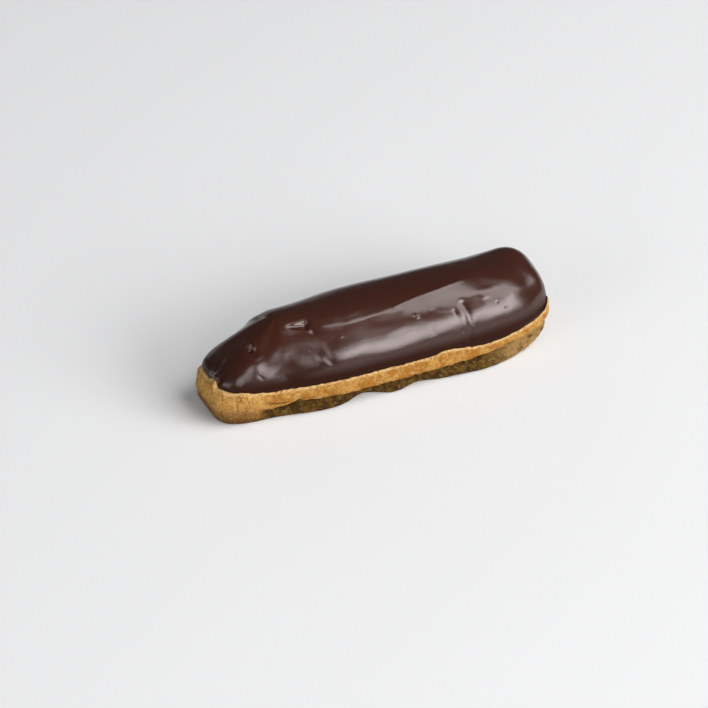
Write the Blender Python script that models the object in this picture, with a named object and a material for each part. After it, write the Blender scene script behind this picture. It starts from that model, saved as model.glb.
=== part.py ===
"""A whole chocolate eclair: a baked choux shell with a coat of chocolate icing over its top.

The eclair lies along X with its flat base on Z = 0, the long rounded nose at -X, the blunt end at +X
and its front at -Y.  Both solids are lofts.  Columns run round the plan outline, and each column has
the same rows, from the middle of the base up the side and over the top.  All sizes are in metres.
"""

import math

import bmesh
import bpy
import numpy as np

# Overall size
LENGTH = 0.140
HALF_WIDTH = 0.0205         # half width of the shell at its lip, on the front
BACK_NARROWING = -0.0025    # the back reaches less far out
HEIGHT = 0.0335             # top of the icing along the middle

# Plan outline: straight sides closed by two rounded ends
NOSE_CAP = 0.0300           # plan length of the rounded nose
BLUNT_CAP = 0.0328          # plan length of the rounded blunt end
NOSE_POWER = 4.2            # squareness of the nose in plan; 2 would be an ellipse
BLUNT_POWER = 2.9           # squareness of the blunt end in plan

# Section of the shell, from the base upwards
BASE_INSET = 0.0014         # how far the foot stands inside the lip
FOOT_UNDERSIDE = 0.0010     # width of the rounded corner under the foot
FOOT_CORNER = (0.0002, 0.0004)      # inset and height of that corner's outer end
FOOT_BULGE = (0.0003, 0.0016)       # reach and height of the foot's widest line
WALL_FOOT_SHARE = 0.8       # share of the foot's inset left half way up the wall
NOSE_WALL_FULLNESS = 0.5    # how much of that share the nose's full wall takes away
WALL_GROOVE_SHARE = 0.35    # share of the groove's depth reached half way up the wall
GROOVE_FOOT_SHARE = 0.2     # share of the foot's inset left in the groove
GROOVE_DROP = 0.0009        # how far the deepest line of the groove lies below the lip
LIP_UNDERSIDE = 0.0065      # height of the lip's lower edge
LIP_UNDERCUT = 0.0030       # how far the groove below the lip goes in
LIP_CORNER_INSET = 0.0003   # how far the lip's lower edge stands inside its widest line
LIP_ROUNDING = 0.0014       # height of the lip's rounded lower and upper corners
LIP_TOP_SHARE = 0.3         # share of the shoulder's inset at the upper corner's lower end
ICING_EDGE = 0.0121         # height of the icing's lower edge
SHOULDER_INSET = 0.0006     # how far the icing's side stands inside the lip

# Section of the icing
ICING_THICKNESS = 0.0016
FIT_GAP = 0.0003            # clearance between the shell and the icing
BEAD_HEIGHT = 0.0009        # height of the rounded bead along the icing's lower edge
BEAD_UNDERCUT = 0.0004      # how far the bead curls in below
DOME_POWER_FRONT = 1.84     # squareness of the section over the top; 2 would be an ellipse
DOME_POWER_BACK = 2.5

# Detail of the two lofts
SIDE_COLUMNS = 34           # columns along each straight side
CAP_COLUMNS = 22            # columns round each end
OUTER_DOME_ROWS = 12
INNER_DOME_ROWS = 7
BEAD_ROWS = 3
FINE_STEPS = 2001           # fine steps that even out the columns round an end
END_HALF_WIDTH = 0.018      # half width across an end, for that spacing
WELD_DISTANCE = 0.000001
TINY = 1e-12

# Sides of the eclair, as the Y direction that each one faces
FRONT = -1
BACK = 1
ALL_ROUND = 0

# Slow changes along the length, each a smooth swell: side, place, spread, rise
TOP_SWELLS = (
    (ALL_ROUND, 0.047, 0.016, -0.0017),     # saddle before the blunt end
    (ALL_ROUND, 0.070, 0.010, 0.0026),      # crest over the blunt end
)
WIDTH_SWELLS = (
    (ALL_ROUND, -0.034, 0.012, -0.0009),    # waist behind the nose
)
CENTRE_SWELLS = (
    (ALL_ROUND, -0.030, 0.018, -0.0016),    # the body bows towards the front
    (ALL_ROUND, 0.020, 0.026, -0.0015),
)
LIP_SWELLS = (
    (ALL_ROUND, -0.057, 0.014, -0.0010),
    (FRONT, -0.005, 0.014, -0.0005),
    (BACK, 0.010, 0.020, 0.0006),
)
BASE_SWELLS = (
    (ALL_ROUND, -0.060, 0.014, 0.0005),
    (FRONT, -0.033, 0.009, -0.0010),        # front foot: lobes and recesses in turn
    (FRONT, -0.013, 0.007, 0.0036),
    (FRONT, -0.002, 0.005, -0.0010),
    (FRONT, 0.009, 0.006, 0.0019),
    (FRONT, 0.036, 0.011, -0.0018),
    (BACK, -0.028, 0.008, 0.0013),          # back foot: the same, in other places
    (BACK, -0.006, 0.010, -0.0012),
    (BACK, 0.018, 0.007, 0.0015),
    (BACK, 0.040, 0.009, -0.0010),
    (ALL_ROUND, 0.064, 0.010, 0.0010),
)
FRONT_POWER_SWELLS = (
    (ALL_ROUND, -0.055, 0.010, -0.26),      # rounder over the nose and its waist
    (ALL_ROUND, -0.038, 0.009, -0.24),
    (ALL_ROUND, -0.020, 0.010, 0.14),       # fuller along the body
    (ALL_ROUND, 0.002, 0.011, 0.15),
    (ALL_ROUND, 0.018, 0.009, 0.07),
    (ALL_ROUND, 0.034, 0.008, 0.05),
)
EDGE_SWELLS = (
    (ALL_ROUND, -0.054, 0.010, -0.0005),
    (FRONT, 0.020, 0.009, 0.0018),
    (BACK, 0.004, 0.012, -0.0006),
)

# Steady changes towards one end, each eased between two places: start, stop, change
NOSE_DROP = (-0.038, -0.067, -0.0093)        # the top slopes down over the nose
NOSE_TAPER = (-0.015, -0.056, -0.0035)       # the half width shrinks
NOSE_BACK_TAPER = (-0.048, -0.062, -0.0023)  # and shrinks more on the back
LIP_RISE = (0.020, 0.062, 0.0018)
EDGE_FALL = (-0.020, 0.035, -0.0014)
DOME_SQUARING = (0.005, 0.045, 0.18)         # the front section grows squarer towards the blunt end
DOME_BACK_SOFTENING = (-0.040, -0.056, -0.4)  # the back section grows rounder towards the nose
HEEL_RISE = (0.046, 0.070, 0.0030)           # the foot lifts off the ground below the blunt end

# Changes from the end of the straight side to the very tip: at the nose, at the blunt end
EDGE_TIP_RISE = (0.0020, 0.0033)
LIP_TIP_RISE = (0.0, 0.0018)
BASE_TIP_INSET = (0.0, -0.0004)
SHOULDER_TIP_INSET = (0.0021, 0.0002)

# The groove below the lip fades out round the nose
NOSE_WALL_START = -0.050
NOSE_WALL_STOP = -0.060
NOSE_UNDERCUT_SHARE = 0.1

# Dents and swellings of the icing: centre, spread along X, spread across, depth
HOLLOWS = (
    ((-0.0537, -0.0086, 0.0240), 0.0045, 0.0074, -0.0011),      # bulge of the nose
    ((-0.0608, -0.0043, 0.0211), 0.0037, 0.0084, -0.0010),
    ((-0.0425, -0.0163, 0.0176), 0.0054, 0.0053, 0.0011),       # waist behind it
    ((-0.0244, -0.0156, 0.0264), 0.0195, 0.0048, 0.0006),       # long flat on the front shoulder
    ((-0.0016, -0.0203, 0.0169), 0.0108, 0.0053, -0.0006),      # swelling low on the front
    ((0.0257, -0.0149, 0.0277), 0.0069, 0.0054, 0.0003),
    ((0.0385, -0.0128, 0.0282), 0.0083, 0.0023, -0.0004),
    ((0.0574, -0.0161, 0.0215), 0.0096, 0.0095, 0.0013),        # hollow at the front of the blunt end
    ((0.0604, 0.0080, 0.0282), 0.0083, 0.0071, -0.0015),        # bulge at its back
    ((-0.0458, 0.0090, 0.0272), 0.0024, 0.0040, -0.0004),
)

# Furrows in the icing: spread across, depth, and the points they run through
FURROWS = (
    (0.0063, 0.0014, ((0.0671, -0.0180, 0.0180), (0.0646, -0.0155, 0.0240), (0.0591, -0.0090, 0.0285))),
)

# The terrace: the thick top flow of icing ends in a low step along this line
TERRACE_LINE = (
    (-0.0240, -0.0128, 0.0300),
    (-0.0115, -0.0124, 0.0307),
    (0.0050, -0.0106, 0.0316),
    (0.0125, -0.0093, 0.0320),
    (0.0215, -0.0091, 0.0325),
    (0.0315, -0.0064, 0.0325),
    (0.0435, -0.0024, 0.0321),
    (0.0570, 0.0017, 0.0307),
)
TERRACE_HEIGHT = 0.0005
TERRACE_SLOPE = 0.0034      # distance over which the step runs out on the front side
TERRACE_BACK = 0.0040       # distance over which it sinks back into the top
TERRACE_FADE = 0.012        # distance over which it fades in and out at its ends

# Looks: base colour, roughness
CHOUX_LOOK = ((0.56, 0.31, 0.09), 0.62)
ICING_LOOK = ((0.050, 0.020, 0.014), 0.22)


def ease(start, stop, x):
    """Rise smoothly from 0 at start to 1 at stop."""
    t = np.clip((x - start) / (stop - start), 0.0, 1.0)
    return t * t * (3.0 - 2.0 * t)


def along(x, facing, base, swells, *changes):
    """Give a size that varies along the length; facing is -1 on the front and 1 on the back."""
    value = np.full_like(x, base)
    for side, place, spread, rise in swells:
        share = 1.0 if side == ALL_ROUND else (1.0 + side * facing) / 2.0
        value = value + share * rise * np.exp(-(((x - place) / spread) ** 2))
    for start, stop, change in changes:
        value = value + change * ease(start, stop, x)
    return value


def top_height(x):
    """Give the height of the icing's top line."""
    return along(x, 0.0 * x, HEIGHT, TOP_SWELLS, NOSE_DROP)


def centre_line(x):
    """Give the sideways bow of the body."""
    return along(x, 0.0 * x, 0.0, CENTRE_SWELLS)


def signed_power(value, power):
    """Raise the size of a value to a power and keep its sign."""
    return np.sign(value) * np.abs(value) ** power


def rounded_end(power, cap, columns):
    """Spread columns evenly round an end; give their shares of the cap's length and half width."""
    turn = np.linspace(0.0, math.pi, FINE_STEPS)
    reach = signed_power(np.sin(turn), 2.0 / power)
    swing = signed_power(np.cos(turn), 2.0 / power)
    steps = np.hypot(cap * np.diff(reach), END_HALF_WIDTH * np.diff(swing))
    run = np.concatenate(((0.0,), np.cumsum(steps)))
    even = np.interp(np.linspace(0.0, run[-1], columns, endpoint=False), run, turn)
    return signed_power(np.sin(even), 2.0 / power), signed_power(np.cos(even), 2.0 / power)


class Plan:
    """The columns of a loft: where each starts on the spine, and which way it runs outwards."""

    def __init__(self, side_columns, cap_columns):
        nose_end = -LENGTH / 2 + NOSE_CAP
        blunt_end = LENGTH / 2 - BLUNT_CAP
        straight = np.linspace(blunt_end, nose_end, side_columns, endpoint=False)
        returning = np.linspace(nose_end, blunt_end, side_columns, endpoint=False)
        nose_reach, nose_swing = rounded_end(NOSE_POWER, NOSE_CAP, cap_columns)
        blunt_reach, blunt_swing = rounded_end(BLUNT_POWER, BLUNT_CAP, cap_columns)
        none = np.zeros(side_columns)
        whole = np.ones(side_columns)
        self.spine = np.concatenate(
            (straight, np.full(cap_columns, nose_end), returning, np.full(cap_columns, blunt_end))
        )
        self.out_x = np.concatenate((none, -NOSE_CAP * nose_reach, none, BLUNT_CAP * blunt_reach))
        self.facing = np.concatenate((-whole, -nose_swing, whole, blunt_swing))
        self.rim = self.spine + self.out_x
        half_width = along(self.rim, self.facing, HALF_WIDTH, WIDTH_SWELLS, NOSE_TAPER)
        back_taper = along(self.rim, self.facing, BACK_NARROWING, (), NOSE_BACK_TAPER)
        self.out_y = self.facing * (half_width + back_taper * (1.0 + self.facing) / 2.0)
        self.reach = np.hypot(self.out_x, self.out_y)
        self.nose = ease(0.0, 1.0, -self.out_x / NOSE_CAP)
        self.blunt = ease(0.0, 1.0, self.out_x / BLUNT_CAP)

    def towards_tips(self, changes):
        """Give a change that grows round the nose and round the blunt end."""
        return changes[0] * self.nose + changes[1] * self.blunt

    def lip(self):
        """Give the height of the lip's lower edge in each column."""
        height = along(self.rim, self.facing, LIP_UNDERSIDE, LIP_SWELLS, LIP_RISE)
        return height + self.towards_tips(LIP_TIP_RISE)

    def edge(self):
        """Give the height of the icing's lower edge in each column."""
        height = along(self.rim, self.facing, ICING_EDGE, EDGE_SWELLS, EDGE_FALL)
        return height + self.towards_tips(EDGE_TIP_RISE)

    def foot(self):
        """Give how far the foot stands inside the lip in each column."""
        inset = along(self.rim, self.facing, BASE_INSET, BASE_SWELLS)
        return inset + self.towards_tips(BASE_TIP_INSET)

    def shoulder(self):
        """Give how far the icing's side stands inside the lip in each column."""
        return SHOULDER_INSET + self.towards_tips(SHOULDER_TIP_INSET)

    def nose_wall(self):
        """Give the share of each column that belongs to the nose, where the wall is full."""
        return ease(NOSE_WALL_START, NOSE_WALL_STOP, self.rim)

    def undercut(self):
        """Give the depth of the groove below the lip in each column."""
        return LIP_UNDERCUT * (1.0 - (1.0 - NOSE_UNDERCUT_SHARE) * self.nose_wall())

    def heel(self):
        """Give the height of the foot's lower edge in each column."""
        return along(self.rim, self.facing, 0.0, (), HEEL_RISE)

    def ring(self, outwards, height):
        """Give one row of points, stepped outwards from the lip line by a distance."""
        share = (self.reach + outwards) / self.reach
        x = self.spine + self.out_x * share
        y = self.out_y * share + centre_line(x)
        return np.stack((x, y, height + 0.0 * x), axis=-1)

    def dome(self, rows, depth):
        """Give the rows over the top, lying depth below the icing's surface, from side to spine."""
        power_front = along(self.rim, self.facing, DOME_POWER_FRONT, FRONT_POWER_SWELLS, DOME_SQUARING)
        share_back = (1.0 + self.facing) / 2.0
        power_back = along(self.rim, self.facing, DOME_POWER_BACK, (), DOME_BACK_SOFTENING)
        power = power_front * (1.0 - share_back) + power_back * share_back
        start = self.edge() + BEAD_HEIGHT
        sweep = np.linspace(0.0, math.pi / 2, rows)[:, None]
        across = np.cos(sweep) ** (2.0 / power)
        across[-1] = 0.0
        share = across * (self.reach - self.shoulder()) / self.reach
        x = self.spine + self.out_x * share
        y = self.out_y * share + centre_line(x)
        z = start + (top_height(x) - start) * np.sin(sweep) ** (2.0 / power)
        surface = np.stack((x, y, z), axis=-1)
        normal = outward(surface)
        normal[0] = np.stack((self.out_x, self.out_y, 0.0 * x[0]), axis=-1) / self.reach[:, None]
        normal[-1] = (0.0, 0.0, 1.0)
        return surface + (relief(surface) - depth)[..., None] * normal


def outward(rows):
    """Give the unit normals of a block of rows, facing out of the eclair."""
    around = np.roll(rows, -1, axis=1) - np.roll(rows, 1, axis=1)
    upwards = np.gradient(rows, axis=0)
    normal = np.cross(upwards, around)
    return normal / np.maximum(np.linalg.norm(normal, axis=-1, keepdims=True), TINY)


def distance_to_line(points, line):
    """Give each point's distance to a line of points, its place on it and its signed side in plan."""
    line = np.array(line)
    steps = np.linalg.norm(np.diff(line, axis=0), axis=1)
    starts = np.concatenate(((0.0,), np.cumsum(steps)))
    best = np.full(points.shape[:-1], np.inf)
    place = np.zeros_like(best)
    side = np.zeros_like(best)
    for index, step in enumerate(steps):
        direction = (line[index + 1] - line[index]) / step
        offset = points - line[index]
        run = np.clip(offset @ direction, 0.0, step)
        gap = offset - run[..., None] * direction
        distance = np.linalg.norm(gap, axis=-1)
        closer = distance < best
        best = np.where(closer, distance, best)
        place = np.where(closer, starts[index] + run, place)
        side = np.where(closer, direction[0] * gap[..., 1] - direction[1] * gap[..., 0], side)
    return best, place, side, starts[-1]


def relief(points):
    """Give the rise of the icing at each point: its hollows, furrows and terrace."""
    rise = np.zeros(points.shape[:-1])
    for centre, length, width, depth in HOLLOWS:
        offset = (points - centre) / (length, width, width)
        rise -= depth * np.exp(-np.sum(offset**2, axis=-1))
    for width, depth, line in FURROWS:
        distance = distance_to_line(points, line)[0]
        rise -= depth * np.exp(-((distance / width) ** 2))
    distance, place, side, total = distance_to_line(points, TERRACE_LINE)
    run_out = np.where(side > 0.0, TERRACE_BACK, TERRACE_SLOPE)
    ends = ease(0.0, TERRACE_FADE, place) * ease(total, total - TERRACE_FADE, place)
    rise += TERRACE_HEIGHT * ends * np.exp(-distance / run_out)
    return rise


def shell_rows(plan):
    """Give the choux shell's rows: base, foot, groove, lip, shelf under the icing, and top."""
    foot = plan.foot()
    lip = plan.lip()
    edge = plan.edge()
    shoulder = plan.shoulder()
    undercut = plan.undercut()
    heel = plan.heel()
    depth = ICING_THICKNESS + FIT_GAP
    wall = foot * (WALL_FOOT_SHARE - NOSE_WALL_FULLNESS * plan.nose_wall()) + undercut * WALL_GROOVE_SHARE
    level = np.zeros_like(foot)
    side = [
        plan.ring(-plan.reach, level),
        plan.ring(-plan.reach / 2.0, level),
        plan.ring(-foot - FOOT_UNDERSIDE, heel),
        plan.ring(-foot - FOOT_CORNER[0], heel + FOOT_CORNER[1]),
        plan.ring(-foot + FOOT_BULGE[0], heel + FOOT_BULGE[1]),
        plan.ring(-wall, (heel + lip) / 2.0),
        plan.ring(-undercut - foot * GROOVE_FOOT_SHARE, lip - GROOVE_DROP),
        plan.ring(level - LIP_CORNER_INSET, lip),
        plan.ring(level, lip + LIP_ROUNDING),
        plan.ring(-shoulder * LIP_TOP_SHARE, edge - LIP_ROUNDING),
        plan.ring(-shoulder, edge - FIT_GAP),
        plan.ring(-shoulder - depth, edge - FIT_GAP),
    ]
    return np.concatenate((np.array(side), plan.dome(INNER_DOME_ROWS, depth)))


def icing_rows(plan):
    """Give the icing's rows: down its inside, round the bead at its edge, and up over its outside."""
    edge = plan.edge()
    shoulder = plan.shoulder()
    inside = plan.dome(INNER_DOME_ROWS, ICING_THICKNESS)
    bead = [plan.ring(-shoulder - ICING_THICKNESS, edge)]
    for turn in np.linspace(0.0, math.pi / 2, BEAD_ROWS, endpoint=False):
        inset = shoulder + BEAD_UNDERCUT * (1.0 - math.sin(turn))
        bead.append(plan.ring(-inset, edge + BEAD_HEIGHT * (1.0 - math.cos(turn))))
    outside = plan.dome(OUTER_DOME_ROWS, 0.0)
    return np.concatenate((inside[::-1], np.array(bead), outside))


def paint(name, look):
    """Make one Principled material from a base colour and a roughness."""
    colour, roughness = look
    material = bpy.data.materials.new(name)
    material.use_nodes = True
    shader = material.node_tree.nodes["Principled BSDF"]
    shader.inputs["Base Color"].default_value = (*colour, 1.0)
    shader.inputs["Roughness"].default_value = roughness
    shader.inputs["Metallic"].default_value = 0.0
    return material


def loft(name, rows, look, falling=0):
    """Skin rows of points into one closed body; the first and last rows fold onto the spine.

    The first falling rows run down the inside of the body.  Their faces are split along the other
    diagonal, so that two surfaces that face each other across the fit gap are split alike.
    """
    body = bmesh.new()
    rings = [[body.verts.new(point) for point in row] for row in rows.tolist()]
    for number, (first, second) in enumerate(zip(rings, rings[1:])):
        for near in range(len(first)):
            far = (near + 1) % len(first)
            if number < falling:
                body.faces.new((first[near], second[near], first[far]))
                body.faces.new((second[near], second[far], first[far]))
            else:
                body.faces.new((first[near], second[near], second[far]))
                body.faces.new((first[near], second[far], first[far]))
    bmesh.ops.remove_doubles(body, verts=body.verts, dist=WELD_DISTANCE)
    bmesh.ops.dissolve_degenerate(body, edges=body.edges, dist=WELD_DISTANCE)
    bmesh.ops.recalc_face_normals(body, faces=body.faces)
    mesh = bpy.data.meshes.new(name)
    body.to_mesh(mesh)
    body.free()
    mesh.shade_smooth()
    mesh.materials.append(paint(name + "_look", look))
    piece = bpy.data.objects.new(name, mesh)
    bpy.context.scene.collection.objects.link(piece)
    return piece


def main():
    """Build the eclair with the middle of its box over the origin."""
    for leftover in list(bpy.data.objects):
        bpy.data.objects.remove(leftover)
    plan = Plan(SIDE_COLUMNS, CAP_COLUMNS)
    shell = shell_rows(plan)
    icing = icing_rows(plan)
    both = np.concatenate((shell.reshape(-1, 3), icing.reshape(-1, 3)))
    middle = (both.min(axis=0) + both.max(axis=0)) / 2.0
    middle[2] = 0.0
    loft("choux_shell", shell - middle, CHOUX_LOOK)
    loft("chocolate_icing", icing - middle, ICING_LOOK, falling=INNER_DOME_ROWS)


main()
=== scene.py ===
"""A dressed chocolate eclair: a baked choux shell under a coat of dark chocolate icing.

The two pieces stand in for the plain solids of the frame.  They are lofts on the same plan, with the
same sizes, in metres: columns run round the outline, and each column has the same rows, from the base
up the side and over the top.  The finer relief of crust and icing is laid over those rows.
"""

import logging
import math
from dataclasses import dataclass
from enum import Enum
from typing import Any, Mapping, Sequence

import bpy
import numpy as np
from mathutils import Matrix, Vector, noise


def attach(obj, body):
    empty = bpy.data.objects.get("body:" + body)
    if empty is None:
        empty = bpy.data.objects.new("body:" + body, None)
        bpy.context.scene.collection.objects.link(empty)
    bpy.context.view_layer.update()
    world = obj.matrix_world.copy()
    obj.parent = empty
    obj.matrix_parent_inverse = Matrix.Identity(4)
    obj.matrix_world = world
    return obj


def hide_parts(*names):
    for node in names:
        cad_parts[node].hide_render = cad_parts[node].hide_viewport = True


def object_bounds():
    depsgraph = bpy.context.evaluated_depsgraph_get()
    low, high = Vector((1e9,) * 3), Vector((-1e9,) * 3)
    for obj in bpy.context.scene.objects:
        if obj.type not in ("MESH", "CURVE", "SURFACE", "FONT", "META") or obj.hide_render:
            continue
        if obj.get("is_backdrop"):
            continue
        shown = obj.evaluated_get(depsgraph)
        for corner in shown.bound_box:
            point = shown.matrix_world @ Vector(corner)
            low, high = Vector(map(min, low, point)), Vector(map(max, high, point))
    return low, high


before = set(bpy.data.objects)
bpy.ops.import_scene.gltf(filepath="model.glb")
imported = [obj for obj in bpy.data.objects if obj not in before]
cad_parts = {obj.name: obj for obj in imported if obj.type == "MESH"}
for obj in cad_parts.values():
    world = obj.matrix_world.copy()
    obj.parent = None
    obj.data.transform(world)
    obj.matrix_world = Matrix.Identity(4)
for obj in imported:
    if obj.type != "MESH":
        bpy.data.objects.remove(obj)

LOG = logging.getLogger("eclair")
TINY = 1e-12
FINE_STEPS = 6001
END_HALF_WIDTH = 0.018
Array = np.ndarray
Point = tuple[float, float, float]
MM = 0.001


class Side(Enum):
    """The side of the eclair that a change of size belongs to, as the Y direction it faces."""

    FRONT = -1
    BACK = 1
    ALL_ROUND = 0


# Shapes


def ease(start: float, stop: float, value: Array) -> Array:
    """Rise smoothly from 0 at start to 1 at stop.

    Args:
        start: Where the rise begins.
        stop: Where it ends; it may lie below start.
        value: The places to work it out for.

    Returns:
        The share at each place.
    """
    t = np.clip((value - start) / (stop - start), 0.0, 1.0)
    return t * t * (3.0 - 2.0 * t)


def signed_power(value: Array, power: float) -> Array:
    """Raise the size of a value to a power and keep its sign."""
    return np.sign(value) * np.abs(value) ** power


def rounded_end(power: float, cap: float, columns: int) -> tuple[Array, Array]:
    """Spread columns evenly round one rounded end.

    Args:
        power: The end's squareness in plan; 2 would be an ellipse.
        cap: Its length in plan.
        columns: How many columns it has.

    Returns:
        Each column's share of the cap's length, and of the half width, from one side to the other.
    """
    turn = np.linspace(0.0, math.pi, FINE_STEPS)
    reach = signed_power(np.sin(turn), 2.0 / power)
    swing = signed_power(np.cos(turn), 2.0 / power)
    steps = np.hypot(cap * np.diff(reach), END_HALF_WIDTH * np.diff(swing))
    run = np.concatenate(((0.0,), np.cumsum(steps)))
    even = np.interp(np.linspace(0.0, run[-1], columns, endpoint=False), run, turn)
    return signed_power(np.sin(even), 2.0 / power), signed_power(np.cos(even), 2.0 / power)


def noise_at(points: Array, scale: float, octaves: int = 1, seed: float = 0.0) -> Array:
    """Give smooth noise between about -1 and 1 at each point.

    Args:
        points: Points, with X, Y and Z last.
        scale: The size of the noise's features, in metres.
        octaves: How many layers, each half as large and half as strong as the one before.
        seed: A shift that gives another pattern.

    Returns:
        One number for each point.
    """
    flat = points.reshape(-1, 3) / scale + seed
    if octaves == 1:
        values = [noise.noise(p) for p in flat.tolist()]
    else:
        values = [noise.fractal(p, 1.0, 2.0, octaves) for p in flat.tolist()]
    return np.array(values).reshape(points.shape[:-1])


def outward(rows: Array) -> Array:
    """Give the unit normals of a block of rows, facing out of the eclair."""
    around = np.roll(rows, -1, axis=1) - np.roll(rows, 1, axis=1)
    upwards = np.gradient(rows, axis=0)
    normal = np.cross(upwards, around)
    return normal / np.maximum(np.linalg.norm(normal, axis=-1, keepdims=True), TINY)


@dataclass(frozen=True)
class Swell:
    """A smooth rise of a size, centred at one place along the length."""

    side: Side
    place: float
    spread: float
    rise: float

    def at(self, x: Array, facing: Array) -> Array:
        """Give the rise at places along the length that face the front (-1) or the back (1)."""
        share = 1.0 if self.side is Side.ALL_ROUND else (1.0 + self.side.value * facing) / 2.0
        return share * self.rise * np.exp(-(((x - self.place) / self.spread) ** 2))


@dataclass(frozen=True)
class Change:
    """A steady change of a size, eased between two places along the length."""

    start: float
    stop: float
    amount: float

    def at(self, x: Array, facing: Array) -> Array:
        """Give the change at places along the length."""
        return self.amount * ease(self.start, self.stop, x)


@dataclass(frozen=True)
class Tips:
    """A change from the end of the straight side to the very tip of each end."""

    nose: float
    blunt: float


@dataclass(frozen=True)
class Course:
    """A size that varies round the eclair: a base, what varies along the length, and the tips."""

    base: float
    parts: tuple = ()
    tips: Tips = Tips(0.0, 0.0)

    def at(self, x: Array, facing: Array) -> Array:
        """Give the size at places along the length, leaving the tips out."""
        value = np.full_like(x, self.base)
        for part in self.parts:
            value = value + part.at(x, facing)
        return value


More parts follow.
